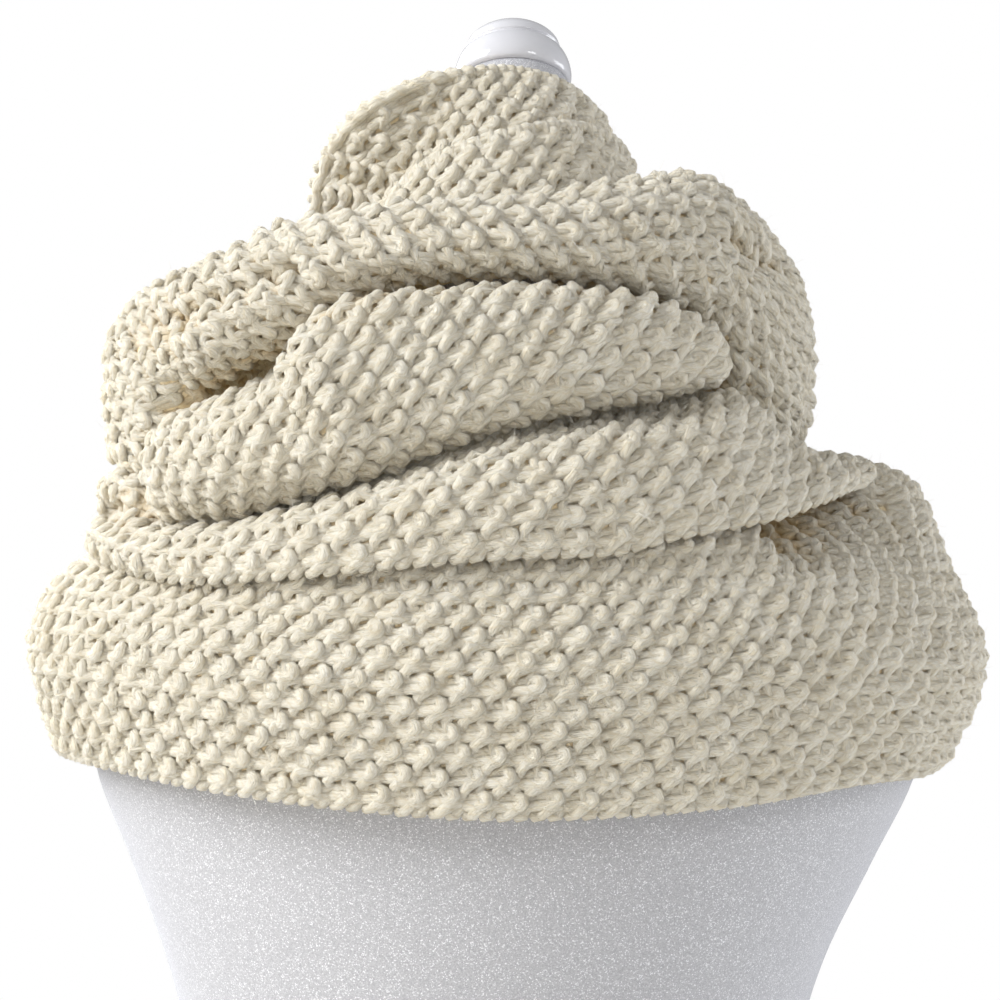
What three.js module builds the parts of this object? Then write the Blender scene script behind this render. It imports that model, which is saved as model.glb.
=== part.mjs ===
// An infinity scarf of bulky seed-stitch wool, wound twice and settled round a dress form.
// Millimetres. +Z is up, the front faces -Y, and the form stands on z = 0.
import * as THREE from "three";

// how thick the knitted cloth is, and how far neighbours stay apart
const clothThick = 6;
const seam = 0.3;

// names of the columns, by their place in a row
const azimuth = 0;

// The form: body sections from the floor up.
// height, half width, half depth, how far back and how far aside the middle sits
const torsoSections = [
  [12, 163, 112, 0, -6],
  [30, 176, 122, 0, -6],
  [60, 184, 128, 0, -6],
  [105, 180, 126, 0, -6],
  [160, 163, 114, 0, -6],
  [210, 143, 101, 0, -6],
  [255, 135, 95, 0, -6],
  [295, 138, 99, 0, -6],
  [340, 150, 108, 0, -5],
  [385, 169, 117, 0, -2],
  [424, 186, 121, 0, 0],
  [460, 189, 117, 0, 0],
  [488, 187, 107, 2, 0],
  [508, 176, 95, 4, 0],
  [522, 158, 84, 6, 0],
  [536, 132, 75, 6, 0],
  [552, 104, 66, 6, 0],
  [570, 78, 59, 4, 0],
  [592, 60, 53, 2, 0],
  [620, 48.2, 47.6, 0, 0],
  [650, 47.4, 47.4, 0, 0],
  [696, 46, 46, 0, 0],
];
const baseBoard = { halfWidth: 157, halfDepth: 107, height: 12 - seam, aside: -6 };

// The neck's rounded top, which leans back towards the knob.
// height, half width, half depth, how far back and how far aside the middle sits, degrees it leans back
const capSections = [
  [696.3, 45.7, 45.7, 0, 0, 0],
  [704, 43.2, 43.2, 0.2, 0.5, 2.4],
  [713, 39.5, 39.5, 0.6, 1.2, 5],
  [722, 34.5, 34.5, 1.1, 1.9, 8],
  [730, 28.5, 28.5, 1.5, 2.5, 11],
  [736.3, 25, 25, 1.9, 3, 12.6],
];
// the knob: where its underside sits, how far it leans back, and its profile as radius and rise
const knob = { x: 3, y: 2, z: 736.6, lean: 12.6 };
const knobProfile = [
  [25.8, 0],
  [26.9, 2.2],
  [26.9, 5.5],
  [26, 9.5],
  [24.4, 13],
  [22.6, 15.4],
  [21.6, 16.2],
  [21.7, 17.3],
  [20.6, 20.5],
  [17.9, 23.6],
  [13.6, 26.1],
  [8, 27.5],
  [3, 27.8],
];

// Each stretch of the scarf is one wall. Its rows are sections at an azimuth, in degrees from
// the front towards +X. Each pair of columns after it is a point of that section: how far it
// lies outside the stretch's plan oval, and its height.
// lower selvedge, low belly, belly, shoulder, top of the shoulder, tucked edge
const shoulderWrap = {
  plan: { x: 0, y: -4, halfWidth: 205, halfDepth: 140 },
  rows: [
    [-180, -6, 430, 1, 458, 4, 490, -2, 525, -12, 550, -26, 558],
    [-150, -6, 430, 2, 458, 4, 488, -3, 520, -16, 542, -32, 550],
    [-122, -5, 432, 3, 458, 5, 484, -3, 508, -19, 523, -42, 533],
    [-90, -4, 435, 3, 457, 7, 480, 0, 505, -14, 516, -40, 519.6],
    [-58, -4, 435, 2, 457, 6, 480, -3, 501, -18, 514, -35, 520],
    [-37, -3, 431, 1, 455, 4, 480, -5, 502, -16, 514, -27, 520],
    [-18, -4, 426, 0, 452, 3, 478, -3, 502, -12, 519, -23, 529],
    [0, -4, 423, 0, 450, 3, 477, -2, 502, -12, 524, -25, 538],
    [25, -4, 426, 0, 452, 3, 477, -2, 502, -13, 522, -31, 538],
    [44, -4, 431, 1, 455, 5, 479, -2, 502, -17, 518, -40, 530],
    [60, -6, 430, 2, 453, 7, 478, -3, 503, -22, 520, -50, 534],
    [68, -8, 430, 2, 453, 7, 478, -5, 506, -22, 530, -56, 545],
    [76, -9, 430, 2, 453, 7, 478, -8, 511, -25, 546, -58, 553],
    [88, -10, 430, 2, 453, 7, 478, -9, 514, -26, 552, -58, 553],
    [110, -9, 430, 2, 454, 7, 480, -5, 516, -21, 551, -46, 558],
    [145, -7, 430, 2, 456, 5, 486, -2, 521, -13, 547, -29, 558],
  ],
};

// lower selvedge, low belly, belly, upper part, crease, tucked edge
const lowerLap = {
  plan: { x: -12, y: -2, halfWidth: 172, halfDepth: 142 },
  open: true,
  rows: [
    [-126, -22, 539, -18, 542.3, -15, 545.6, -16, 549, -21, 551, -27, 552],
    [-112, -9, 534.8, -3, 540.4, -1, 547, -4, 553, -12, 557, -22, 558],
    [-95, -5, 525.7, -1, 533.6, -4, 541, -2, 550, -8, 557.4, -20, 560.4],
    [-75, 0, 520.2, 3, 529, -3, 537, -2, 547, -9, 554, -22, 557],
    [-65, 2, 518, 5, 525, -2, 532, -4, 539, -12, 544, -24, 545],
    [-57, 2, 515, 6, 521, 0, 527, -6, 530.5, -16, 532, -28, 532],
    [-43, 2, 511, 4, 518, -2, 525, -11, 529, -19, 530, -30, 530],
    [-27, 1, 513, 3, 521, 0, 529, -8, 534, -19, 537, -34, 539],
    [-12, 1, 517, 3, 526, 1, 537, -7, 544.5, -21, 547.3, -43, 551],
    [3, 1, 521, 3, 532, 1, 547, -5, 557, -24, 560.5, -47, 566],
    [18, 1, 523, 3, 536, 1, 552, -5, 565, -26, 568.5, -53, 576],
    [25, 1, 526, 2, 539, 0, 554, -6, 567, -28, 571, -54, 581],
    [32, 0, 529, 2, 542, -1, 557, -7, 571, -30, 574.5, -55, 583],
    [42, -1, 532, -1, 545, -5, 560, -11, 577, -25, 582.5, -46, 584.5],
    [50, -2, 537, -4, 547, -10, 560, -17, 575, -28, 582.5, -41, 583.5],
    [60, -2, 545, -2, 551, -6, 556, -13, 560, -21, 562, -34, 563],
    [70, -2, 555, -4, 559, -8, 561, -14, 562, -22, 562, -34, 562],
    [77, -14, 558, -16, 560, -19, 561, -24, 562, -30, 562, -36, 562],
    [86, -34, 559, -35, 559, -37, 560, -39, 560, -41, 560, -44, 560],
  ],
};

// tucked lower edge, underside, low belly, belly, high belly, upper lip, tucked upper edge
const middleFold = {
  plan: { x: -20, y: 0, halfWidth: 160, halfDepth: 130 },
  open: true,
  rows: [
    [-57, -14, 550, -11, 552, -9, 556, -8, 560, -9, 565, -11, 568, -14, 570],
    [-53, -20, 541, -7, 539, 0, 547, 1, 560, -2, 572, -8, 578, -20, 579],
    [-47, -23, 539, -9, 537, 3, 545, 5, 560, 1, 574, -8, 581, -23, 582],
    [-37, -24, 539, -9, 537, 5, 547, 8, 564, 2, 579, -8, 585, -24, 586],
    [-28, -24, 545, -9, 542, 5, 552, 9, 570, 4, 586, -7, 592, -24, 593],
    [-21, -24, 550, -9, 547, 5, 556, 9, 574, 6, 595, -2, 607, -20, 611],
    [-14, -24, 554, -9, 551, 4, 560, 8, 579, 6, 603, -2, 617, -20, 619],
    [0, -24, 568, -9, 565, 3, 572, 7, 590, 5, 609, -2, 620, -20, 621],
    [12, -24, 578, -10, 574, 3, 580, 7, 597, 5, 612, -2, 622, -20, 623],
    [22, -25, 582, -11, 579, 1, 585, 6, 599, 5, 612, -2, 621, -20, 622],
    [32, -26, 587, -12, 584, 0, 588, 4, 599, 3, 610, -4, 618, -22, 619],
    [42, -28, 593, -16, 590, -4, 592, 0, 598, -2, 606, -9, 610, -24, 611],
    [47, -30, 592, -26, 591, -20, 592, -17, 595, -19, 598, -24, 599, -29, 599],
  ],
};

// tucked inner edge, inner slope, crest, outer shoulder, side, low side, lip, tucked lower edge
const topRoll = {
  plan: { x: -20, y: 0, halfWidth: 160, halfDepth: 126 },
  rows: [
    [-180, -35, 640, -29, 655, -17, 664, -4, 650, 0, 620, -1, 590, -7, 573, -22, 567],
    [-130, -35, 628, -30, 643, -18, 650, -5, 637, 0, 611, -1, 586, -7, 570, -22, 563],
    [-95, -34, 615, -30, 629, -18, 637, -5, 627, -1, 606, -1, 586, -6, 571, -20, 566],
    [-75, -34, 612, -30, 626, -19, 634, -6, 625, 0, 607, -1, 587, -5, 570, -20, 565],
    [-64, -34, 613, -30, 627, -19, 635, -6, 627, 0, 609, -5, 586, -10, 568, -24, 561],
    [-56, -34, 615, -30, 629, -19, 637, -5, 629, 1, 612, -5, 598, -18, 588, -30, 577],
    [-45, -33, 618, -29, 632, -18, 641, -3, 631, 3, 614, 0, 603, -9, 595, -26, 591],
    [-30, -32, 629, -28, 643, -17, 651, -3, 641, 1, 627, 3, 615, -5, 605, -24, 601],
    [-20, -31, 634, -27, 648, -16, 655, -4, 647, 0, 637, 0, 630, -7, 624, -24, 621],
    [-8, -31, 637, -27, 650, -16, 657, -4, 650, 0, 641, -1, 634, -9, 629, -26, 628],
    [12, -30, 641, -26, 654, -16, 661, -4, 654, 0, 644, -1, 637, -9, 631, -26, 630],
    [30, -30, 649, -26, 663, -16, 670, -3, 661, 1, 647, 0, 634, -8, 627, -26, 626],
    [42, -31, 654, -28, 669, -17, 675, -4, 664, 0, 646, -1, 628, -10, 620, -28, 617.5],
    [50, -32, 650, -28, 664, -18, 671, -5, 657, -1, 637, -3, 616, -13, 605, -30, 601],
    [62, -33, 643, -29, 656, -19, 663, -8, 649, -2, 626, -2, 600, -8, 579, -24, 573],
    [80, -34, 639, -30, 651, -21, 658, -10, 644, -3, 620, -3, 594, -6, 575, -21, 569],
    [110, -35, 640, -30, 655, -19, 663, -7, 649, -2, 622, -2, 592, -7, 574, -22, 568],
  ],
};

// foot, belly, upper part, upper edge
const neckLayer = {
  plan: { x: 0, y: -2, halfWidth: 66, halfDepth: 70 },
  rows: [
    [-180, 8, 630, 7, 645, 5, 660, 3, 671],
    [-130, 12, 618, 14, 629, 15, 640, 15, 648],
    [-95, 22, 612, 24, 622, 24, 631, 23, 638],
    [-68, 20, 618, 20, 630, 18, 642, 13, 651],
    [-50, 16, 628, 14, 643, 9, 660, 2, 672],
    [-32, 15, 636, 13, 651, 7, 670, 0, 684],
    [0, 14, 642, 13, 660, 6, 679, 0, 695],
    [28, 11, 645, 9, 664, 2, 685, -4, 701],
    [55, 3, 640, 0, 660, -4, 682, -7, 699],
    [90, -6, 636, -6, 655, -7, 675, -9, 688],
    [130, 0, 633, 0, 648, 0, 663, 0, 674],
  ],
};

// foot, lower part, middle, under the rim, rim
const hood = {
  plan: { x: 0, y: 0, halfWidth: 60, halfDepth: 60 },
  rows: [
    [-180, 0, 636, 1, 655, 3, 675, 6, 692, 9, 702],
    [-130, 4, 622, 6, 642, 10, 660, 15, 675, 20, 686],
    [-95, 6, 616, 10, 632, 14, 648, 18, 663, 28, 676],
    [-75, 6, 622, 7, 641, 8, 661, 11, 681, 21, 699],
    [-50, 2, 632, -1, 654, -4, 677, -4, 699, 8, 717],
    [-30, -1, 636, -2, 661, -5, 686, -9, 709, -11, 727],
    [0, -2, 640, -1, 664, -3, 688, -11, 713, -24, 731],
    [40, -6, 640, -6, 664, -7, 688, -12, 711, -22, 727],
    [75, -9, 638, -9, 660, -9, 683, -12, 703, -16, 716],
    [110, -8, 636, -8, 655, -8, 675, -8, 691, -8, 702],
  ],
};

// Creases pressed into a stretch, each along a line from one azimuth and height to another:
// from azimuth, from height, to azimuth, to height, half breadth, depth
const topRollCreases = [
  [-24, 631, -46, 616, 5, 6],
  [-50, 613, -62, 611, 9, 17],
  [47, 648, 60, 640, 8, 10],
  [78, 604, 76, 584, 6, 7],
  [128, 618, 178, 622, 7, 8],
  [-172, 600, -118, 596, 8, 9],
];
const shoulderWrapCreases = [
  [118, 515, 170, 505, 12, 7],
  [-150, 498, -112, 510, 12, 6],
];
const lowerLapCreases = [[-66, 535, -82, 540, 5, 5]];

// slope at knot i, from its two neighbours
function slopeAt(knots, values, i) {
  const a = Math.max(i - 1, 0);
  const b = Math.min(i + 1, knots.length - 1);
  return (values[b] - values[a]) / (knots[b] - knots[a]);
}

// smooth curve through values at knots, read at t
function smooth(knots, values, t) {
  let i = 0;
  while (i < knots.length - 2 && t > knots[i + 1]) i++;
  const span = knots[i + 1] - knots[i];
  const u = Math.min(Math.max((t - knots[i]) / span, 0), 1);
  const m0 = slopeAt(knots, values, i) * span;
  const m1 = slopeAt(knots, values, i + 1) * span;
  const u2 = u * u;
  const u3 = u2 * u;
  return (
    (2 * u3 - 3 * u2 + 1) * values[i] +
    (u3 - 2 * u2 + u) * m0 +
    (3 * u2 - 2 * u3) * values[i + 1] +
    (u3 - u2) * m1
  );
}

// a closed stretch's rows, carried on past both ends so that the curve joins up
function wrappedRows(stretch) {
  if (stretch.open) return stretch.rows;
  const turned = (row, by) => [row[azimuth] + by, ...row.slice(1)];
  const before = stretch.rows.slice(-3).map((row) => turned(row, -360));
  const after = stretch.rows.slice(0, 3).map((row) => turned(row, 360));
  return [...before, ...stretch.rows, ...after];
}

// one section of a stretch as evenly spaced points: how far outside the plan oval, and height
function sectionAt(stretch, rows, az, stations) {
  const knots = rows.map((row) => row[azimuth]);
  const pointCount = (rows[0].length - 1) / 2;
  const outs = [];
  const heights = [];
  for (let k = 0; k < pointCount; k++) {
    outs.push(smooth(knots, rows.map((row) => row[1 + 2 * k]), az));
    heights.push(smooth(knots, rows.map((row) => row[2 + 2 * k]), az));
  }
  const along = [0];
  for (let k = 1; k < pointCount; k++) {
    const step = Math.hypot(outs[k] - outs[k - 1], heights[k] - heights[k - 1]);
    along.push(along[k - 1] + Math.sqrt(step));
  }
  const fine = 96;
  const curve = [];
  for (let j = 0; j <= fine; j++) {
    const t = (along[pointCount - 1] * j) / fine;
    curve.push([smooth(along, outs, t), smooth(along, heights, t)]);
  }
  const length = [0];
  for (let j = 1; j <= fine; j++) {
    const dx = curve[j][0] - curve[j - 1][0];
    const dz = curve[j][1] - curve[j - 1][1];
    length.push(length[j - 1] + Math.hypot(dx, dz));
  }
  const section = [];
  let j = 0;
  for (let s = 0; s <= stations; s++) {
    const want = (length[fine] * s) / stations;
    while (j < fine - 1 && length[j + 1] < want) j++;
    const u = Math.min(Math.max((want - length[j]) / (length[j + 1] - length[j]), 0), 1);
    section.push([
      curve[j][0] + u * (curve[j + 1][0] - curve[j][0]),
      curve[j][1] + u * (curve[j + 1][1] - curve[j][1]),
    ]);
  }
  return section;
}

// how deep the creases press in at an azimuth and height
function creaseDepth(creases, plan, az, height) {
  const perDegree = ((plan.halfWidth + plan.halfDepth) / 2) * (Math.PI / 180);
  let depth = 0;
  for (const [fromAz, fromZ, toAz, toZ, breadth, deep] of creases) {
    for (const turn of [-360, 0, 360]) {
      const px = (az + turn - fromAz) * perDegree;
      const pz = height - fromZ;
      const dx = (toAz - fromAz) * perDegree;
      const dz = toZ - fromZ;
      const u = Math.min(Math.max((px * dx + pz * dz) / (dx * dx + dz * dz), 0), 1);
      const away = Math.hypot(px - u * dx, pz - u * dz) / breadth;
      depth += deep * Math.exp(-away * away);
    }
  }
  return depth;
}

// the middle surface of a stretch as a grid of points, by azimuth and then along the section
function middleGrid(stretch, creases, turns, stations) {
  const rows = wrappedRows(stretch);
  const { plan } = stretch;
  const first = stretch.open ? stretch.rows[0][azimuth] : -180;
  const last = stretch.open ? stretch.rows.at(-1)[azimuth] : 180;
  const columns = stretch.open ? turns + 1 : turns;
  const grid = [];
  for (let i = 0; i < columns; i++) {
    const az = first + ((last - first) * i) / turns;
    const angle = az * (Math.PI / 180);
    grid.push(
      sectionAt(stretch, rows, az, stations).map(([out, height]) => {
        const from = out - creaseDepth(creases, plan, az, height);
        return new THREE.Vector3(
          plan.x + (plan.halfWidth + from) * Math.sin(angle),
          plan.y - (plan.halfDepth + from) * Math.cos(angle),
          height,
        );
      }),
    );
  }
  return grid;
}

// the outward normal of the grid at one point
function gridNormal(grid, open, i, k) {
  const n = grid.length;
  const last = grid[0].length - 1;
  const left = open ? Math.max(i - 1, 0) : (i + n - 1) % n;
  const right = open ? Math.min(i + 1, n - 1) : (i + 1) % n;
  const along = grid[right][k].clone().sub(grid[left][k]);
  const up = grid[i][Math.min(k + 1, last)].clone().sub(grid[i][Math.max(k - 1, 0)]);
  return along.cross(up).normalize();
}

// a closed wall of even thickness about the middle surface
function clothWall(stretch, creases, turns, stations, thick = clothThick) {
  const open = Boolean(stretch.open);
  const grid = middleGrid(stretch, creases, turns, stations);
  const n = grid.length;
  const m = stations + 1;
  const positions = [];
  for (const side of [0.5, -0.5]) {
    for (let i = 0; i < n; i++) {
      for (let k = 0; k < m; k++) {
        const p = gridNormal(grid, open, i, k).multiplyScalar(side * thick).add(grid[i][k]);
        positions.push(p.x, p.y, p.z);
      }
    }
  }
  const outer = (i, k) => (i % n) * m + k;
  const inner = (i, k) => n * m + (i % n) * m + k;
  const faces = [];
  const quad = (a, b, c, d) => faces.push(a, b, c, a, c, d);
  const spans = open ? n - 1 : n;
  for (let i = 0; i < spans; i++) {
    for (let k = 0; k < m - 1; k++) {
      quad(outer(i, k), outer(i + 1, k), outer(i + 1, k + 1), outer(i, k + 1));
      quad(inner(i, k), inner(i, k + 1), inner(i + 1, k + 1), inner(i + 1, k));
    }
    quad(inner(i, 0), inner(i + 1, 0), outer(i + 1, 0), outer(i, 0));
    quad(outer(i, m - 1), outer(i + 1, m - 1), inner(i + 1, m - 1), inner(i, m - 1));
  }
  if (open) {
    for (let k = 0; k < m - 1; k++) {
      quad(inner(0, k), outer(0, k), outer(0, k + 1), inner(0, k + 1));
      quad(outer(n - 1, k), inner(n - 1, k), inner(n - 1, k + 1), outer(n - 1, k + 1));
    }
  }
  return closedGeometry(positions, faces);
}

// an indexed geometry from a list of coordinates and a list of faces
function closedGeometry(positions, faces) {
  const geometry = new THREE.BufferGeometry();
  geometry.setAttribute("position", new THREE.Float32BufferAttribute(positions, 3));
  geometry.setIndex(faces);
  return geometry;
}

// a solid lofted through level oval sections
function loftedSolid(sections, around) {
  const positions = [];
  const faces = [];
  for (const [height, halfWidth, halfDepth, back, aside, leans = 0] of sections) {
    const lean = leans * (Math.PI / 180);
    for (let i = 0; i < around; i++) {
      const angle = (i / around) * 2 * Math.PI;
      const across = aside + halfWidth * Math.sin(angle);
      const front = halfDepth * Math.cos(angle);
      positions.push(across, back - front * Math.cos(lean), height + front * Math.sin(lean));
    }
  }
  const low = positions.length / 3;
  const high = low + 1;
  const top = sections.at(-1);
  positions.push(sections[0][4], sections[0][3], sections[0][0], top[4], top[3], top[0]);
  for (let s = 0; s < sections.length - 1; s++) {
    for (let i = 0; i < around; i++) {
      const a = s * around + i;
      const b = s * around + ((i + 1) % around);
      faces.push(a, b, b + around, a, b + around, a + around);
    }
  }
  const crown = (sections.length - 1) * around;
  for (let i = 0; i < around; i++) {
    const next = (i + 1) % around;
    faces.push(low, next, i, high, crown + i, crown + next);
  }
  return closedGeometry(positions, faces);
}

// sections of a turned piece that stands on a leaning axis
function leaningSections(place, profile) {
  const lean = place.lean * (Math.PI / 180);
  return profile.map(([radius, rise]) => [
    place.z + rise * Math.cos(lean),
    radius,
    radius,
    place.y + rise * Math.sin(lean),
    place.x,
    place.lean,
  ]);
}

const wool = new THREE.MeshStandardMaterial({ color: 0xe9e1cd, roughness: 0.95 });
const jersey = new THREE.MeshStandardMaterial({ color: 0xf2f2f4, roughness: 0.75 });
const gloss = new THREE.MeshStandardMaterial({ color: 0xf6f6f8, roughness: 0.2 });
const board = new THREE.MeshStandardMaterial({ color: 0xe4e2de, roughness: 0.6 });

const whole = new THREE.Group();

function add(name, geometry, material) {
  const mesh = new THREE.Mesh(geometry, material);
  mesh.name = name;
  whole.add(mesh);
}

const boardSections = [
  [0, baseBoard.halfWidth, baseBoard.halfDepth, 0, baseBoard.aside],
  [baseBoard.height, baseBoard.halfWidth, baseBoard.halfDepth, 0, baseBoard.aside],
];
add("form_body", loftedSolid(torsoSections, 36), jersey);
add("form_base", loftedSolid(boardSections, 36), board);
add("neck_cap", loftedSolid(capSections, 32), jersey);
add("neck_knob", loftedSolid(leaningSections(knob, knobProfile), 32), gloss);

add("shoulder_wrap", clothWall(shoulderWrap, shoulderWrapCreases, 64, 9), wool);
add("lower_lap", clothWall(lowerLap, lowerLapCreases, 46, 9), wool);
add("middle_fold", clothWall(middleFold, [], 32, 12), wool);
add("top_roll", clothWall(topRoll, topRollCreases, 72, 16), wool);
add("neck_layer", clothWall(neckLayer, [], 36, 5), wool);
add("hood", clothWall(hood, [], 36, 7), wool);

export default whole;
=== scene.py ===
import math

import bmesh
import bpy
import numpy as np
from mathutils import Matrix, Vector


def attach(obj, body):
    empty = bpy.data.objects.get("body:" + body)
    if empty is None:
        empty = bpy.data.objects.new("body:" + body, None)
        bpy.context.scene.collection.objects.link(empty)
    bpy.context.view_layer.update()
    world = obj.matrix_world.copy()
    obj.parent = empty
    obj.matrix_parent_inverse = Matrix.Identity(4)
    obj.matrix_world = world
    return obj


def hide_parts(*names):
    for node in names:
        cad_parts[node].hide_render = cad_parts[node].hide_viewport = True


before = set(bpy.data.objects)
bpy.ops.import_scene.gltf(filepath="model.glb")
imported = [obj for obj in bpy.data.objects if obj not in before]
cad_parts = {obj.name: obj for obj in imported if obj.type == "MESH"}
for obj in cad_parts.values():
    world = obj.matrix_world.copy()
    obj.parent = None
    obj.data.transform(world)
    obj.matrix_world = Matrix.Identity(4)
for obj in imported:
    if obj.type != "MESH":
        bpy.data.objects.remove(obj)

scene = bpy.context.scene
mm = 0.001
rng = np.random.default_rng(11)

# Camera: straight ahead from the front, a little above the shoulders, as in the photo
eye = {"x": -3, "y": -758, "z": 520, "lens": 59.33, "shiftY": 0.055}
camData = bpy.data.cameras.new("camera")
camData.lens = eye["lens"]
camData.sensor_width = 36
camData.shift_y = eye["shiftY"]
camData.clip_start = 0.05
camData.clip_end = 50
cam = bpy.data.objects.new("camera", camData)
cam.location = (eye["x"] * mm, eye["y"] * mm, eye["z"] * mm)
cam.rotation_euler = (math.radians(90), 0, 0)
scene.collection.objects.link(cam)
scene.camera = cam
scene.view_settings.view_transform = "Standard"


# Materials
def newMaterial(name, finish):
    mat = bpy.data.materials.new(name)
    mat.use_nodes = True
    shader = mat.node_tree.nodes["Principled BSDF"]
    for socket, value in finish.items():
        shader.inputs[socket].default_value = value
    return mat, mat.node_tree, shader


def addNode(tree, kind, **values):
    node = tree.nodes.new(kind)
    for key, value in values.items():
        if key in node.inputs:
            node.inputs[key].default_value = value
        else:
            setattr(node, key, value)
    return node


def pattern(tree, kind, **values):
    # a texture on the piece's own coordinates
    place = tree.nodes.new("ShaderNodeTexCoord")
    node = addNode(tree, kind, **values)
    tree.links.new(place.outputs["Object"], node.inputs["Vector"])
    return node


def mapped(tree, source, **values):
    node = addNode(tree, "ShaderNodeMapping", **values)
    tree.links.new(source, node.inputs["Vector"])
    return node.outputs["Vector"]


def ramp(tree, source, low, high, a, b):
    node = tree.nodes.new("ShaderNodeValToRGB")
    node.color_ramp.elements[0].position = low
    node.color_ramp.elements[0].color = (*a, 1)
    node.color_ramp.elements[1].position = high
    node.color_ramp.elements[1].color = (*b, 1)
    tree.links.new(source, node.inputs["Fac"])
    return node.outputs["Color"]


def worked(tree, operation, *terms):
    node = addNode(tree, "ShaderNodeMath", operation=operation)
    for socket, term in zip(node.inputs, terms):
        if isinstance(term, float):
            socket.default_value = term
        else:
            tree.links.new(term, socket)
    return node.outputs["Value"]


def tinted(tree, colour, tint):
    node = addNode(tree, "ShaderNodeMix", data_type="RGBA", blend_type="MULTIPLY")
    node.inputs[0].default_value = 1.0
    tree.links.new(colour, node.inputs[6])
    tree.links.new(tint, node.inputs[7])
    return node.outputs[2]


def bumped(tree, height, strength, distance, under=None):
    node = addNode(tree, "ShaderNodeBump", Strength=strength, Distance=distance)
    tree.links.new(height, node.inputs["Height"])
    if under:
        tree.links.new(under, node.inputs["Normal"])
    return node.outputs["Normal"]


def woolMaterial():
    mat, tree, shader = newMaterial("wool_yarn", {
        "Roughness": 0.95, "Specular IOR Level": 0.15, "Sheen Weight": 0.35, "Sheen Roughness": 0.6,
    })
    link = tree.links.new
    uv = addNode(tree, "ShaderNodeUVMap", uv_map="yarn").outputs["UV"]
    # two plies twisted along the yarn
    parts = tree.nodes.new("ShaderNodeSeparateXYZ")
    link(mapped(tree, uv, Scale=(190, 2, 1)), parts.inputs["Vector"])
    sway = pattern(tree, "ShaderNodeTexNoise", Scale=220.0, Detail=1.0)
    turn = worked(tree, "ADD", parts.outputs["X"], parts.outputs["Y"])
    turn = worked(tree, "MULTIPLY_ADD", sway.outputs["Fac"], 0.9, turn)
    plyUp = worked(tree, "ABSOLUTE", worked(tree, "SINE", worked(tree, "MULTIPLY", turn, math.pi)))
    # fibres drawn out along the plies, fluff on them, and slow changes of tone
    fibre = addNode(tree, "ShaderNodeTexNoise", Scale=1.0, Detail=4.0, Roughness=0.7, Distortion=0.6)
    link(mapped(tree, uv, Scale=(260, 16, 1), Rotation=(0, 0, 0.25)), fibre.inputs["Vector"])
    fluff = pattern(tree, "ShaderNodeTexNoise", Scale=1700.0, Detail=3.0, Roughness=0.7)
    patch = pattern(tree, "ShaderNodeTexNoise", Scale=70.0, Detail=3.0)
    tone = ramp(tree, patch.outputs["Fac"], 0.3, 0.7, (0.9, 0.845, 0.71), (0.975, 0.94, 0.835))
    shade = ramp(tree, plyUp, 0.0, 0.55, (0.95, 0.92, 0.85), (1, 1, 1))
    speck = ramp(tree, fibre.outputs["Fac"], 0.4, 0.6, (0.9, 0.86, 0.78), (1, 1, 1))
    # painted shade: yarn that lies deep in the cloth, each strand's underside, tucked ends and creases
    # are painted warmer and darker
    rise = addNode(tree, "ShaderNodeAttribute", attribute_name="rise")
    span = tree.nodes.new("ShaderNodeMapRange")
    span.inputs["From Min"].default_value = -5.0
    span.inputs["From Max"].default_value = 0.4
    link(rise.outputs["Fac"], span.inputs["Value"])
    deep = ramp(tree, span.outputs["Result"], 0.0, 1.0, (0.9, 0.69, 0.36), (1, 1, 1))
    for tint in (shade, speck, deep):
        tone = tinted(tree, tone, tint)
    link(tone, shader.inputs["Base Color"])
    normal = bumped(tree, plyUp, 0.6, 0.0008)
    normal = bumped(tree, fibre.outputs["Fac"], 1.0, 0.0014, normal)
    normal = bumped(tree, fluff.outputs["Fac"], 0.8, 0.0006, normal)
    link(normal, shader.inputs["Normal"])
    return mat


def backingMaterial():
    mat, tree, shader = newMaterial("wool_inner_painted_shade", {"Roughness": 0.95, "Specular IOR Level": 0.1})
    strands = pattern(tree, "ShaderNodeTexNoise", Scale=420.0, Detail=4.0, Roughness=0.65).outputs["Fac"]
    # painted shade: the wool between the stitches is coloured darker and warmer than the yarn, as the
    # warm shade in the gaps
    tone = ramp(tree, strands, 0.35, 0.65, (0.84, 0.68, 0.42), (0.95, 0.83, 0.59))
    tree.links.new(tone, shader.inputs["Base Color"])
    tree.links.new(bumped(tree, strands, 1.0, 0.002), shader.inputs["Normal"])
    return mat


def fibreMaterial():
    mat, tree, shader = newMaterial("wool_fibre", {"Roughness": 0.9, "Specular IOR Level": 0.1})
    patch = pattern(tree, "ShaderNodeTexNoise", Scale=90.0, Detail=2.0)
    tone = ramp(tree, patch.outputs["Fac"], 0.3, 0.7, (0.9, 0.87, 0.79), (0.98, 0.96, 0.92))
    tree.links.new(tone, shader.inputs["Base Color"])
    return mat


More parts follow.
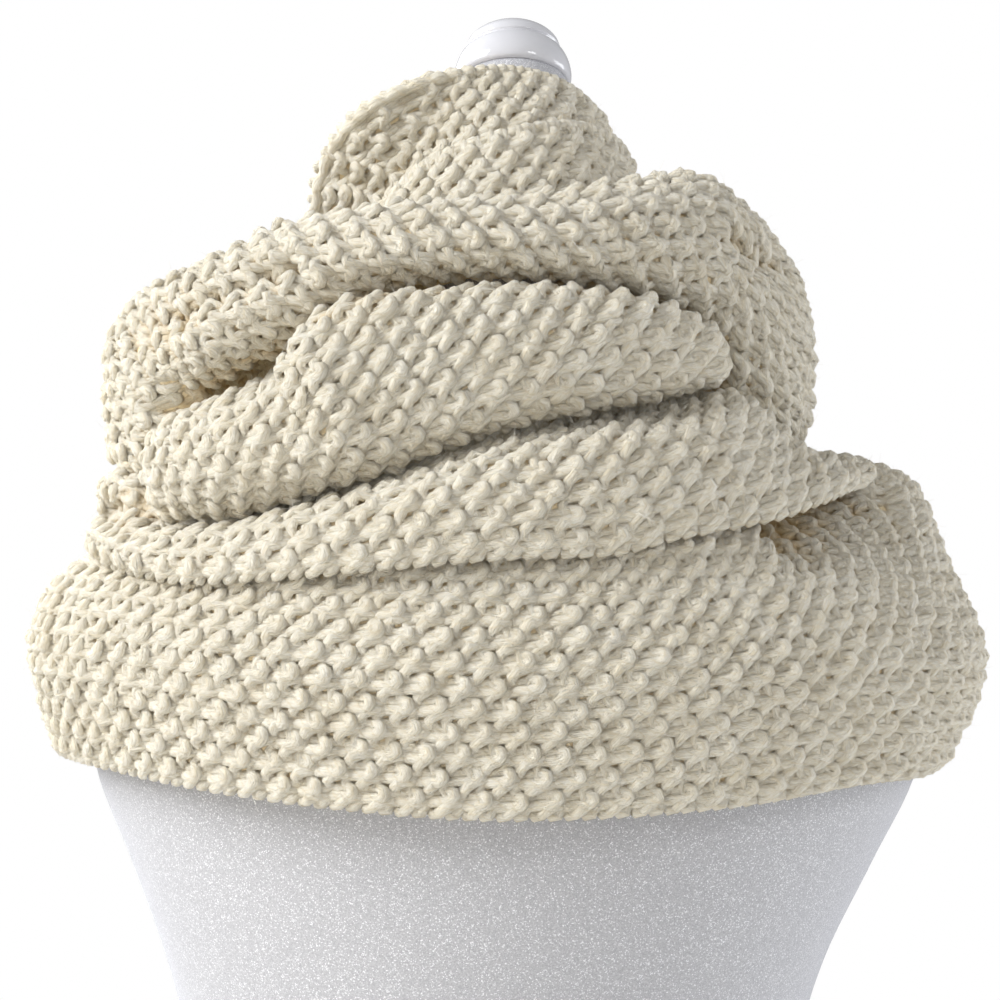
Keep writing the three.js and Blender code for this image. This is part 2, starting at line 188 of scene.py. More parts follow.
def jerseyMaterial():
    mat, tree, shader = newMaterial("sparkle_jersey", {
        "Specular IOR Level": 0.5, "Sheen Weight": 0.55, "Sheen Roughness": 0.35,
        "Sheen Tint": (0.9, 0.92, 1, 1),
    })
    link = tree.links.new
    grain = pattern(tree, "ShaderNodeTexNoise", Scale=1500.0, Detail=2.0, Roughness=0.75).outputs["Fac"]
    tone = ramp(tree, grain, 0.36, 0.62, (0.37, 0.37, 0.395), (0.51, 0.51, 0.53))
    # metallic threads that catch the light here and there
    glint = pattern(tree, "ShaderNodeTexVoronoi", Scale=2300.0)
    parts = tree.nodes.new("ShaderNodeSeparateColor")
    link(glint.outputs["Color"], parts.inputs["Color"])
    bright = addNode(tree, "ShaderNodeMix", data_type="RGBA", blend_type="MIX")
    link(ramp(tree, parts.outputs["Red"], 0.84, 0.97, (0, 0, 0), (1, 1, 1)), bright.inputs[0])
    link(tone, bright.inputs[6])
    bright.inputs[7].default_value = (0.85, 0.85, 0.87, 1)
    link(bright.outputs[2], shader.inputs["Base Color"])
    dull = ramp(tree, parts.outputs["Red"], 0.86, 0.94, (0.62, 0.62, 0.62), (0.22, 0.22, 0.22))
    link(dull, shader.inputs["Roughness"])
    normal = bumped(tree, grain, 0.6, 0.0004)
    normal = bumped(tree, parts.outputs["Green"], 0.5, 0.0004, normal)
    link(normal, shader.inputs["Normal"])
    return mat


def glossMaterial():
    mat, tree, shader = newMaterial("gloss_white", {
        "Roughness": 0.12, "Coat Weight": 0.4, "Coat Roughness": 0.05,
    })
    cloud = pattern(tree, "ShaderNodeTexNoise", Scale=35.0, Detail=2.0)
    tone = ramp(tree, cloud.outputs["Fac"], 0.3, 0.7, (0.6, 0.6, 0.635), (0.66, 0.66, 0.69))
    tree.links.new(tone, shader.inputs["Base Color"])
    return mat


def boardMaterial():
    mat, tree, shader = newMaterial("painted_board", {"Roughness": 0.55})
    grain = pattern(tree, "ShaderNodeTexNoise", Scale=120.0, Detail=3.0).outputs["Fac"]
    tone = ramp(tree, grain, 0.3, 0.7, (0.7, 0.69, 0.67), (0.78, 0.77, 0.75))
    tree.links.new(tone, shader.inputs["Base Color"])
    tree.links.new(bumped(tree, grain, 0.2, 0.0003), shader.inputs["Normal"])
    return mat


wool = woolMaterial()
fibreWool = fibreMaterial()
backing = backingMaterial()
jersey = jerseyMaterial()
gloss = glossMaterial()
board = boardMaterial()
print("materials made")


# Smooth curves through short tables
def slopes(knots, values):
    out = np.empty_like(values)
    for i in range(len(knots)):
        a = max(i - 1, 0)
        b = min(i + 1, len(knots) - 1)
        out[i] = (values[b] - values[a]) / (knots[b] - knots[a])
    return out


def smooth(knots, values, t):
    knots = np.asarray(knots, float)
    values = np.asarray(values, float)
    t = np.atleast_1d(np.asarray(t, float))
    i = np.clip(np.searchsorted(knots, t, side="left") - 1, 0, len(knots) - 2)
    span = knots[i + 1] - knots[i]
    u = np.clip((t - knots[i]) / span, 0, 1)
    m = slopes(knots, values)
    extra = (1,) * (values.ndim - 1)
    u = u.reshape(-1, *extra)
    span = span.reshape(-1, *extra)
    u2 = u * u
    u3 = u2 * u
    return (
        (2 * u3 - 3 * u2 + 1) * values[i]
        + (u3 - 2 * u2 + u) * m[i] * span
        + (3 * u2 - 2 * u3) * values[i + 1]
        + (u3 - u2) * m[i + 1] * span
    )


# Meshes from arrays of points in millimetres
def meshObject(name, points, quads, material, uvs=None):
    mesh = bpy.data.meshes.new(name)
    mesh.vertices.add(len(points))
    mesh.vertices.foreach_set("co", (np.asarray(points, np.float32) * mm).ravel())
    mesh.loops.add(quads.size)
    mesh.loops.foreach_set("vertex_index", quads.astype(np.int32).ravel())
    mesh.polygons.add(len(quads))
    mesh.polygons.foreach_set("loop_start", np.arange(0, quads.size, 4, dtype=np.int32))
    mesh.polygons.foreach_set("use_smooth", np.ones(len(quads), bool))
    if uvs is not None:
        layer = mesh.uv_layers.new(name="yarn")
        layer.data.foreach_set("uv", uvs.astype(np.float32).ravel())
    mesh.update(calc_edges=True)
    mesh.validate()
    mesh.materials.append(material)
    obj = bpy.data.objects.new(name, mesh)
    scene.collection.objects.link(obj)
    return obj


def finishPiece(obj, node):
    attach(obj, "root")
    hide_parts(node)


# The form: sections from the floor up (height, half width, half depth, back, aside)
form = {
    "sections": [
        [12, 163, 112, 0, -6],
        [30, 176, 122, 0, -6],
        [60, 184, 128, 0, -6],
        [105, 180, 126, 0, -6],
        [160, 163, 114, 0, -6],
        [210, 143, 101, 0, -6],
        [255, 135, 95, 0, -6],
        [295, 138, 99, 0, -6],
        [340, 150, 108, 0, -5],
        [385, 169, 117, 0, -2],
        [424, 186, 121, 0, 0],
        [460, 189, 117, 0, 0],
        [488, 187, 107, 2, 0],
        [508, 176, 95, 4, 0],
        [522, 158, 84, 6, 0],
        [536, 132, 75, 6, 0],
        [552, 104, 66, 6, 0],
        [570, 78, 59, 4, 0],
        [592, 60, 53, 2, 0],
        [620, 48.2, 47.6, 0, 0],
        [650, 47.4, 47.4, 0, 0],
        [696, 46, 46, 0, 0],
    ],
    "around": 112,
    "step": 6,
}


def fromBmesh(name, bm, material, rounded=True):
    for face in bm.faces:
        face.smooth = rounded and len(face.verts) <= 4  # caps stay flat
    mesh = bpy.data.meshes.new(name)
    bm.to_mesh(mesh)
    bm.free()
    mesh.materials.append(material)
    obj = bpy.data.objects.new(name, mesh)
    scene.collection.objects.link(obj)
    return obj


def lofted(name, heights, sections, around, material):
    # oval rings, each by half width, half depth, back, aside and degrees it leans back
    angles = np.linspace(0, 2 * math.pi, around, endpoint=False)
    bm = bmesh.new()
    rings = []
    for z, (halfWidth, halfDepth, back, aside, *leans) in zip(heights, sections):
        lean = math.radians(leans[0]) if leans else 0
        ring = bmesh.ops.create_circle(bm, segments=around, radius=1.0)["verts"]
        for vert, angle in zip(ring, angles):
            front = halfDepth * math.cos(angle)
            x = aside + halfWidth * math.sin(angle)
            vert.co = Vector((x, back - front * math.cos(lean), z + front * math.sin(lean))) * mm
        rings.append(ring)
    for pair in zip(rings, rings[1:]):
        bridge(bm, *pair)
    bm.faces.new(list(reversed(rings[0])))
    bm.faces.new(rings[-1])
    bmesh.ops.recalc_face_normals(bm, faces=bm.faces)
    return fromBmesh(name, bm, material)


def bridge(bm, low, high):
    for i in range(len(low)):
        j = (i + 1) % len(low)
        bm.faces.new((low[i], low[j], high[j], high[i]))


def formBody():
    rows = np.array(form["sections"], float)
    heights = np.append(np.arange(rows[0, 0], rows[-1, 0], form["step"]), rows[-1, 0])
    sections = smooth(rows[:, 0], rows[:, 1:], heights)
    obj = lofted("jersey_body", heights, sections, form["around"], jersey)
    finishPiece(obj, "form_body")


def eased(profile, per):
    points = np.array(profile, float)
    along = np.append(0, np.cumsum(np.sqrt(np.hypot(*np.diff(points, axis=0).T))))
    t = np.linspace(0, along[-1], per)
    return smooth(along, points, t)


# the neck's rounded top: height, half width, half depth, back, aside, degrees it leans back
cap = {
    "sections": [
        [696.3, 45.7, 45.7, 0, 0, 0],
        [704, 43.2, 43.2, 0.2, 0.5, 2.4],
        [713, 39.5, 39.5, 0.6, 1.2, 5],
        [722, 34.5, 34.5, 1.1, 1.9, 8],
        [730, 28.5, 28.5, 1.5, 2.5, 11],
        [736.3, 25, 25, 1.9, 3, 12.6],
    ],
    "around": 96,
    "rings": 24,
}
# the turned knob on its leaning axis: radius and rise
knob = {
    "x": 3, "y": 2, "z": 736.6, "lean": 12.6,
    "skirt": [[25.2, 0], [26.4, 0.9], [26.9, 2.6], [26.9, 5.5], [26, 9.5], [24.4, 13], [22.6, 15.4]],
    "groove": [[22.1, 15.75], [21.6, 15.9], [21.5, 16.5], [21.9, 16.9]],
    "dome": [[22.1, 17.3], [20.9, 20.5], [17.9, 23.6], [13.6, 26.1], [8, 27.5], [3, 27.95], [0, 28]],
    "skirtPoints": 26, "domePoints": 30, "around": 96,
}


def formTop():
    rows = np.array(cap["sections"], float)
    heights = np.linspace(rows[0, 0], rows[-1, 0], cap["rings"])
    sections = smooth(rows[:, 0], rows[:, 1:], heights)
    finishPiece(lofted("cap_jersey", heights, sections, cap["around"], jersey), "neck_cap")
    skirt = eased(knob["skirt"], knob["skirtPoints"])
    dome = eased(knob["dome"], knob["domePoints"])
    profile = [[0, 0], *skirt, *knob["groove"], *dome[:-1], knob["dome"][-1]]
    bm = bmesh.new()
    verts = [bm.verts.new((r * mm, 0, rise * mm)) for r, rise in profile]
    edges = [bm.edges.new(pair) for pair in zip(verts, verts[1:])]
    bmesh.ops.spin(
        bm, geom=verts + edges, cent=(0, 0, 0), axis=(0, 0, 1), angle=2 * math.pi,
        steps=knob["around"], use_merge=True,
    )
    bmesh.ops.remove_doubles(bm, verts=bm.verts, dist=1e-6)
    bmesh.ops.recalc_face_normals(bm, faces=bm.faces)
    leaning = Matrix.Rotation(math.radians(-knob["lean"]), 4, "X")
    bmesh.ops.transform(bm, matrix=leaning, verts=bm.verts)
    bmesh.ops.translate(bm, vec=Vector((knob["x"], knob["y"], knob["z"])) * mm, verts=bm.verts)
    finishPiece(fromBmesh("turned_knob", bm, gloss), "neck_knob")


baseBoard = {
    "halfWidth": 157, "halfDepth": 107, "height": 11.7, "aside": -6, "edge": 1.2, "around": 96,
}


def formBase():
    bm = bmesh.new()
    bmesh.ops.create_cone(
        bm, cap_ends=True, segments=baseBoard["around"], radius1=1, radius2=1,
        depth=baseBoard["height"] * mm,
    )
    for vert in bm.verts:
        vert.co.x = (vert.co.x * baseBoard["halfWidth"] + baseBoard["aside"]) * mm
        vert.co.y = vert.co.y * baseBoard["halfDepth"] * mm
        vert.co.z += baseBoard["height"] / 2 * mm
    rim = [e for e in bm.edges if abs(e.verts[0].co.z - e.verts[1].co.z) < 1e-6]
    bmesh.ops.bevel(
        bm, geom=rim, offset=baseBoard["edge"] * mm, affect="EDGES", segments=2, profile=0.5,
        material=-1,
    )
    finishPiece(fromBmesh("base_plate", bm, board, rounded=False), "form_base")


formBody()
formTop()
formBase()
print("form made")


# The scarf's stretches. A row is an azimuth, then pairs of how far outside the plan oval and height.
# x and y are the oval's middle. face is the side that shows, anchor the share of the section
# that the stitches are counted from, hidden the shares left unknitted at the section's ends, and
# lean how far the courses slant at an azimuth. The shade entry of the tucked ends is how deep the
# painted shade goes at each end, a darker and warmer tone where it goes in under its neighbour.
# A crease runs from one azimuth and height to another, with its breadth and depth, and is painted
# with shade along it. edge is a free edge's cord: radius, swelling and how far out. Where a
# stretch goes in under its neighbour, its row runs on further than the solid's wall does, so that
# nothing is seen between them.
stretches = {
    "shoulder_wrap": {
        "x": 0, "y": -4, "halfWidth": 205, "halfDepth": 140,
        "face": 1, "anchor": 0, "selvedge": True, "hidden": [0, 0], "tucked": [0, 2.5], "parts": 3,
        "lean": [[-180, -60, 0, 60, 180], [0.1, 0.3, 0.28, 0.05, 0.1]],
        "flat": [0.137, 1.11], "restsOn": ["form_body"],
        "rows": [
            [-180, -6, 430, 1, 458, 4, 490, -2, 525, -13, 552, -38, 565],
            [-150, -6, 430, 2, 458, 4, 488, -3, 520, -17, 546, -42, 562],
            [-122, -5, 432, 3, 458, 5, 484, -3, 508, -22, 525, -58, 552],
            [-90, -4, 435, 3, 457, 7, 480, 0, 505, -16, 518, -60, 540],
            [-58, -4, 435, 2, 457, 6, 480, -3, 501, -19, 515, -50, 530],
            [-37, -3, 431, 1, 455, 4, 480, -5, 502, -16, 514, -27, 520],
            [-18, -4, 426, 0, 452, 3, 478, -3, 502, -12, 519, -23, 529],
            [0, -4, 423, 0, 450, 3, 477, -2, 502, -12, 524, -25, 538],
            [25, -4, 426, 0, 452, 3, 477, -2, 502, -13, 522, -31, 538],
            [44, -4, 431, 1, 455, 5, 479, -2, 502, -18, 520, -58, 554],
            [60, -6, 430, 2, 453, 7, 478, -3, 503, -23, 525, -62, 553],
            [68, -8, 430, 2, 453, 7, 478, -5, 507, -23, 535, -62, 556],
            [76, -9, 430, 2, 453, 7, 478, -7, 513, -25, 548, -66, 556],
            [88, -10, 430, 2, 453, 7, 478, -8, 516, -25, 554, -72, 565],
            [110, -9, 430, 2, 454, 7, 480, -5, 516, -20, 553, -64, 568],
            [145, -7, 430, 2, 456, 5, 486, -2, 521, -14, 549, -44, 565],
        ],
        "creases": [
            [38, 527, 67, 551, 10, 21],
            [118, 515, 170, 505, 12, 7],
            [-150, 498, -112, 510, 12, 6],
        ],
    },
    "lower_lap": {
        "x": -12, "y": -2, "halfWidth": 172, "halfDepth": 142,
        "open": True,
        "face": 1, "anchor": 0, "selvedge": True, "hidden": [0, 0], "tucked": [0, 2], "parts": 1,
        "lean": [[-120, 0, 90], [0.15, 0.2, 0.1]],
        "flat": [0.058, 0.568], "restsOn": ["shoulder_wrap_cloth"],
        "rows": [
            [-126, -22, 539, -18, 542.3, -15, 545.6, -16, 549, -21, 551, -27, 552],
            [-112, -9, 534.8, -3, 540.4, -1, 547, -4, 553, -12, 557, -22, 558],
            [-95, -5, 525.7, -1, 533.6, -4, 541, -2, 549, -8, 555.6, -20, 557.4],
            [-75, 0, 520.2, 3, 529, -3, 537, -2, 547, -9, 554, -22, 557],
            [-65, 2, 518, 5, 525, -2, 532, -4, 539, -12, 544, -24, 545],
            [-57, 2, 515, 6, 521, 0, 527, -6, 530.5, -20, 533, -40, 540],
            [-43, 2, 511, 4, 518, -2, 525, -11, 529, -25, 532, -46, 543],
            [-27, 1, 513, 3, 521, 0, 529, -8, 534, -25, 538.5, -49, 551],
            [-12, 1, 517, 3, 526, 1, 537, -7, 544, -26, 548.5, -51, 560],
            [3, 1, 521, 3, 532, 1, 547, -6, 556.5, -28, 562, -53, 573],
            [18, 1, 523, 3, 536, 1, 552, -5, 565, -26, 568.5, -53, 576],
            [25, 1, 528, 2, 540, 0, 554, -6, 567, -28, 571, -54, 581],
            [32, 2, 532, 2, 544, -1, 557, -7, 571, -30, 574.5, -55, 583],
            [42, 4, 537, 1, 548, -5, 560, -11, 577, -25, 582.5, -46, 584.5],
            [50, 4, 542.5, 0, 551, -8, 562, -17, 575, -28, 582.5, -41, 583.5],
            [60, 5, 549, 4, 554, -2, 558, -11, 560, -21, 560.5, -34, 560],
            [70, 4, 552, 5, 555.5, 1, 559, -8, 560.5, -19, 560.5, -34, 560],
            [77, -3, 554.5, -3, 557, -7, 559.5, -15, 561, -25, 562, -36, 562],
            [86, -24, 560.5, -24, 562, -27, 563, -31, 563.5, -37, 563.5, -44, 563],
        ],
        "creases": [
            [-58, 537, -76, 541, 6, 9],
        ],
    },
    "middle_fold": {
        "x": -20, "y": 0, "halfWidth": 160, "halfDepth": 130,
        "open": True,
        "face": 1, "anchor": 0.5, "selvedge": False, "parts": 1,
        "hidden": [0.04, 0.04], "tucked": [2.5, 4.5],
        "lean": [[-60, -20, 50], [0.0, 0.05, 0.0]],
        "flat": [0.089, 0.305], "restsOn": ["lower_lap_cloth"],
        "rows": [
            [-66, -37, 538, -36, 544, -35, 552, -34, 560, -34, 570, -35, 578, -37, 584],
            [-61, -31, 550, -30, 553, -29, 557, -28, 561, -28, 566, -30, 573, -38, 583],
            [-57, -16, 550, -12, 552, -10, 556, -9, 560, -10, 565, -15, 570, -40, 579],
            [-53, -20, 541, -7, 539, 0, 547, 1, 558, -2, 568, -9, 575, -40, 583],
            [-47, -23, 539, -9, 537, 3, 545, 5, 558, 1, 569, -9, 577, -38, 587],
            [-37, -24, 539, -9, 537, 5, 547, 8, 562, 2, 575, -9, 582, -36, 595],
            [-28, -24, 545, -9, 542, 5, 552, 9, 567, 5, 579, -6, 587, -32, 598],
            [-21, -24, 550, -9, 547, 5, 556, 9, 574, 8, 596, 3, 606, -14, 609],
            [-14, -24, 554, -9, 551, 4, 560, 9, 580, 8, 605, 4, 615, -7, 618],
            [0, -24, 568, -9, 565, 3, 572, 7, 590, 5, 609, -2, 620, -20, 621],
            [12, -24, 578, -10, 574, 3, 580, 7, 597, 5, 612, -2, 622, -20, 623],
            [22, -25, 582, -11, 579, 1, 585, 6, 599, 5, 612, -2, 621, -20, 622],
            [32, -26, 587, -12, 584, 0, 588, 4, 599, 3, 610, -4, 618, -22, 619],
            [42, -28, 593, -16, 590, -4, 592, 0, 598, -2, 606, -9, 610, -24, 611],
            [47, -30, 592, -26, 591, -20, 592, -17, 595, -19, 598, -24, 599, -29, 599],
        ],
        "creases": [
            [-18, 594, -15, 566, 7, -4],
            [-26, 590, -23, 570, 6, 3],
        ],
    },
    "top_roll": {
        "x": -20, "y": 0, "halfWidth": 160, "halfDepth": 126,
        "face": -1, "anchor": 0.25, "selvedge": False, "parts": 2,
        "hidden": [0.03, 0.02], "tucked": [2, 4.5],
        "lean": [[-180, 180], [0.0, 0.0]],
        "flat": [0.124, 0.916], "restsOn": ["middle_fold_cloth", "shoulder_wrap_cloth"],
        "rows": [
            [-180, -35, 640, -29, 655, -17, 664, -4, 650, 0, 620, -1, 590, -7, 573, -22, 567],
            [-130, -35, 628, -30, 643, -18, 650, -5, 637, 0, 611, -1, 586, -7, 570, -22, 563],
            [-95, -34, 615, -30, 629, -18, 637, -5, 627, -1, 606, -1, 584, -4, 566, -18, 559.5],
            [-75, -34, 612, -30, 626, -19, 634, -6, 625, 0, 607, -1, 584, -4, 563, -18, 555],
            [-64, -34, 613, -30, 627, -19, 635, -6, 627, 0, 609, -5, 584, -9, 564, -18, 554],
            [-56, -34, 615, -30, 629, -19, 637, -5, 629, 1, 612, -4, 600, -15, 592, -27, 584],
            [-45, -33, 618, -29, 632, -18, 641, -3, 631, 3, 614, 2, 605, -7, 598, -26, 594],
            [-30, -32, 629, -28, 643, -17, 651, -3, 641, 2, 627, 4, 617, -4, 608, -24, 604],
            [-20, -31, 634, -27, 648, -16, 655, -4, 647, 0, 636, 1, 627, -6, 617, -24, 613],
            [-8, -31, 637, -27, 650, -16, 657, -4, 650, 0, 641, -1, 634, -9, 629, -26, 628],
            [12, -30, 641, -26, 654, -16, 661, -4, 654, 0, 644, -1, 637, -9, 631, -26, 630],
            [30, -30, 649, -26, 663, -16, 670, -3, 661, 1, 647, 0, 634, -8, 627, -26, 626],
            [42, -31, 654, -28, 669, -17, 675, -4, 664, 0, 646, -1, 628, -10, 620, -28, 617.5],
            [50, -32, 650, -28, 664, -18, 671, -5, 657, -1, 637, -3, 616, -13, 605, -30, 601],
            [62, -33, 643, -29, 656, -19, 663, -8, 649, -2, 626, -2, 600, -8, 579, -24, 573],
            [80, -34, 639, -30, 651, -21, 658, -10, 644, -3, 620, -3, 594, -6, 575, -21, 569],
            [110, -35, 640, -30, 655, -19, 663, -7, 649, -2, 622, -2, 592, -7, 574, -22, 568],
        ],
        "creases": [
            [-24, 631, -46, 616, 5, 6],
            [-48, 614, -62, 611, 13, 8],
            [47, 648, 60, 640, 8, 10],
            [78, 604, 76, 584, 8, 4],
            [128, 618, 178, 622, 7, 8],
            [-172, 600, -118, 596, 8, 9],
        ],
    },
    "neck_layer": {
        "x": 0, "y": -2, "halfWidth": 66, "halfDepth": 70,
        "face": 1, "anchor": 1, "selvedge": True, "hidden": [0, 0], "tucked": [2.5, 0], "parts": 1,
        "lean": [[-180, 180], [0.0, 0.0]],
        "edge": [2.4, 0.6, -0.8], "flat": [0.044, 0.494], "restsOn": ["top_roll_cloth"],
        "rows": [
            [-180, 8, 630, 7, 645, 5, 660, 3, 671],
            [-130, 12, 618, 14, 629, 15, 640, 15, 648],
            [-95, 22, 612, 24, 622, 24, 631, 23, 638],
            [-68, 20, 618, 20, 630, 18, 642, 13, 651],
            [-50, 16, 628, 14, 643, 9, 660, 2, 672],
            [-32, 15, 636, 13, 651, 7, 670, 0, 684],
            [0, 14, 642, 13, 660, 6, 679, 0, 695],
            [28, 11, 645, 9, 664, 2, 685, -4, 701],
            [55, 3, 640, 0, 660, -4, 682, -7, 699],
            [90, -6, 636, -6, 655, -7, 675, -9, 688],
            [130, 0, 633, 0, 648, 0, 663, 0, 674],
        ],
    },
    "hood": {
        "x": 0, "y": 0, "halfWidth": 60, "halfDepth": 60,
        "face": 1, "anchor": 1, "selvedge": True, "hidden": [0.05, 0], "tucked": [2.5, 0], "parts": 1,
        "lean": [[-180, 180], [0.0, 0.0]],
        "edge": [2.9, 0.9, -0.6], "flat": [0.08, 0.4], "restsOn": ["neck_layer_cloth"],
        "rows": [
            [-180, 0, 636, 1, 655, 3, 675, 6, 692, 9, 702],
            [-130, 4, 622, 6, 642, 10, 660, 15, 675, 20, 686],
            [-95, 6, 616, 10, 632, 14, 648, 18, 663, 28, 676],
            [-75, 6, 622, 7, 641, 8, 661, 11, 681, 21, 699],
            [-50, 2, 632, -1, 654, -4, 677, -4, 699, 8, 717],
            [-30, -1, 636, -2, 661, -5, 686, -9, 709, -11, 727],
            [0, -2, 640, -1, 664, -3, 688, -11, 713, -24, 731],
            [40, -6, 640, -6, 664, -7, 688, -12, 711, -22, 727],
            [75, -9, 638, -9, 660, -9, 683, -12, 703, -16, 716],
            [110, -8, 636, -8, 655, -8, 675, -8, 691, -8, 702],
        ],
        "creases": [
            [-92, 640, -62, 672, 16, 4.5],
        ],
    },
}

# the gauge: one stitch along the section and one course round the ring, how far a loop reaches to
# each side, how its legs draw in, how far it stands out and lies in, and the yarn's own section
gauge = {
    "stitch": 8.8,
    "course": 6.6,
    "loop": 5.2,
    "waist": 0.12,
    "pinch": 0.06,
    "depth": 1.6,
    "sink": 1.0,
    "radius": 2.26,
    "wide": 1.04,
    "high": 0.94,
    "endRadius": 0.6,
}
# one loop: place along it, how far its yarn stands out and how full it is, first for a stitch
# whose head stands out and then for one whose foot does
loops = {
    "head": np.array([
        [0.0, 0.1, 1.0],
        [0.1, -0.5, 1.0],
        [0.2, 0.35, 1.02],
        [0.29, 0.75, 1.06],
        [0.37, 1.05, 1.1],
        [0.435, 1.3, 1.14],
        [0.5, 1.5, 1.16],
        [0.565, 1.35, 1.1],
        [0.63, 0.75, 1.0],
        [0.71, -0.1, 0.96],
        [0.8, -0.5, 0.96],
        [0.9, -0.8, 1.0],
    ]),
    "foot": np.array([
        [0.03, 0.6, 1.05],
        [0.12, 1.25, 1.12],
        [0.22, 0.5, 1.05],
        [0.36, -0.6, 0.98],
        [0.5, -1.1, 1.0],
        [0.64, -0.6, 0.98],
        [0.78, 0.0, 1.0],
        [0.9, 0.5, 1.05],
    ]),
}
# how far the legs slant up the course
loopSlant = 0.11
# points round the yarn, closer together on the side that shows
yarnRing = np.radians([0, 50, 90, 130, 180, 270])
# how the yarn comes round a selvedge: past the edge, across the course, out of the cloth, and how
# full it is
edgeTurn = np.array([
    [1.6, -4.4, -2.6, 0.8],
    [-0.4, -4.0, -1.8, 0.95],
    [-1.6, -2.5, -0.2, 1.0],
    [-0.8, -0.4, 1.4, 1.0],
])


# how finely the sections are worked out, how much painted shade a crease's pressing adds, and how
# far in from an edge the painted shade of a tuck fades
fineness = {"columns": 300, "stations": 140, "curve": 97, "creaseShade": 0.28, "tuckShadeFade": 13}


def unit(vectors):
    return vectors / (np.linalg.norm(vectors, axis=-1, keepdims=True) + 1e-9)


class Cloth:
    # one stretch's surface, by azimuth and by place along the section
    def __init__(self, stretch):
        columns, stations = fineness["columns"], fineness["stations"]
        rows = [list(map(float, row)) for row in stretch["rows"]]
        self.open = stretch.get("open", False)
        first, last = (rows[0][0], rows[-1][0]) if self.open else (-180, 180)
        if not self.open:
            before = [[row[0] - 360, *row[1:]] for row in rows[-3:]]
            after = [[row[0] + 360, *row[1:]] for row in rows[:3]]
            rows = before + rows + after
        table = np.array(rows)
        self.azimuths = np.linspace(first, last, columns)
        self.length = np.empty(columns)
        # how deep the painted shade lies at each point, from tucked ends and creases
        self.tuck = np.zeros((columns, stations, 1))
        self.grid = np.empty((columns, stations, 3))
        sections = smooth(table[:, 0], table[:, 1:], self.azimuths)
        for c, (az, section) in enumerate(zip(self.azimuths, sections)):
            out, height = self.section(c, section.reshape(-1, 2), stretch)
            out = self.crease(c, az, out, height, stretch)
            angle = math.radians(az)
            self.grid[c, :, 0] = stretch["x"] + (stretch["halfWidth"] + out) * math.sin(angle)
            self.grid[c, :, 1] = stretch["y"] - (stretch["halfDepth"] + out) * math.cos(angle)
            self.grid[c, :, 2] = height
        self.normal = self.faceOut() * stretch["face"]
        middle = self.grid[:, stations // 2]
        self.around = np.append(0, np.cumsum(np.linalg.norm(np.diff(middle, axis=0), axis=1)))

    def section(self, c, points, stretch):
        # even steps along the smooth curve through a row's points
        steps = np.hypot(*np.diff(points, axis=0).T)
        along = np.append(0, np.cumsum(np.sqrt(steps)))
        curve = smooth(along, points, np.linspace(0, along[-1], fineness["curve"]))
        run = np.append(0, np.cumsum(np.hypot(*np.diff(curve, axis=0).T)))
        self.length[c] = run[-1]
        want = np.linspace(0, run[-1], fineness["stations"])
        # painted shade: a tucked end's tone is darkened and warmed, fading in from the end
        for end, depth in zip((want, run[-1] - want), stretch["tucked"]):
            self.tuck[c, :, 0] += depth * np.exp(-(end / fineness["tuckShadeFade"]) ** 2)
        return np.interp(want, run, curve[:, 0]), np.interp(want, run, curve[:, 1])

    def crease(self, c, az, out, height, stretch):
        perDegree = (stretch["halfWidth"] + stretch["halfDepth"]) / 2 * math.pi / 180
        for fromAz, fromZ, toAz, toZ, breadth, deep in stretch.get("creases", []):
            dx = (toAz - fromAz) * perDegree
            dz = toZ - fromZ
            for whole in (-360, 0, 360):
                px = (az + whole - fromAz) * perDegree
                pz = height - fromZ
                u = np.clip((px * dx + pz * dz) / (dx * dx + dz * dz), 0, 1)
                away = np.hypot(px - u * dx, pz - u * dz) / breadth
                pressed = deep * np.exp(-away * away)
                out = out - pressed
                # painted shade: the crease's pressing darkens and warms its tone
                self.tuck[c, :, 0] += fineness["creaseShade"] * pressed
        return out

    def faceOut(self):
        if self.open:
            across = np.gradient(self.grid, axis=0)
        else:
            across = np.empty_like(self.grid)
            across[1:-1] = self.grid[2:] - self.grid[:-2]
            across[0] = across[-1] = self.grid[1] - self.grid[-2]
        return unit(np.cross(across, np.gradient(self.grid, axis=1)))

    def read(self, array, az, s):
        # array at azimuths az and distances s along the section
        span = self.azimuths[-1] - self.azimuths[0]
        if not self.open:
            az = (az + 180) % 360 - 180
        u = np.clip((az - self.azimuths[0]) / span, 0, 1) * (len(self.azimuths) - 1)
        i = np.minimum(u.astype(int), len(self.azimuths) - 2)
        fu = (u - i)[:, None]
        length = self.length[i] * (1 - fu[:, 0]) + self.length[i + 1] * fu[:, 0]
        v = np.clip(s / length, 0, 1) * (array.shape[1] - 1)
        k = np.minimum(v.astype(int), array.shape[1] - 2)
        fv = (v - k)[:, None]
        return (
            array[i, k] * (1 - fu) * (1 - fv)
            + array[i + 1, k] * fu * (1 - fv)
            + array[i, k + 1] * (1 - fu) * fv
            + array[i + 1, k + 1] * fu * fv
        )

    def heading(self, azs, fromS, toS):
        # which way the section runs between two distances along it
        return unit(self.read(self.grid, azs, toS) - self.read(self.grid, azs, fromS))


# a closed thin sheet just behind the middle of the knitting, coloured as painted shade where it shows
# between the stitches
backingSheet = {"behind": 1.9, "thick": 1.2, "skipColumns": 5, "skipRows": 5}


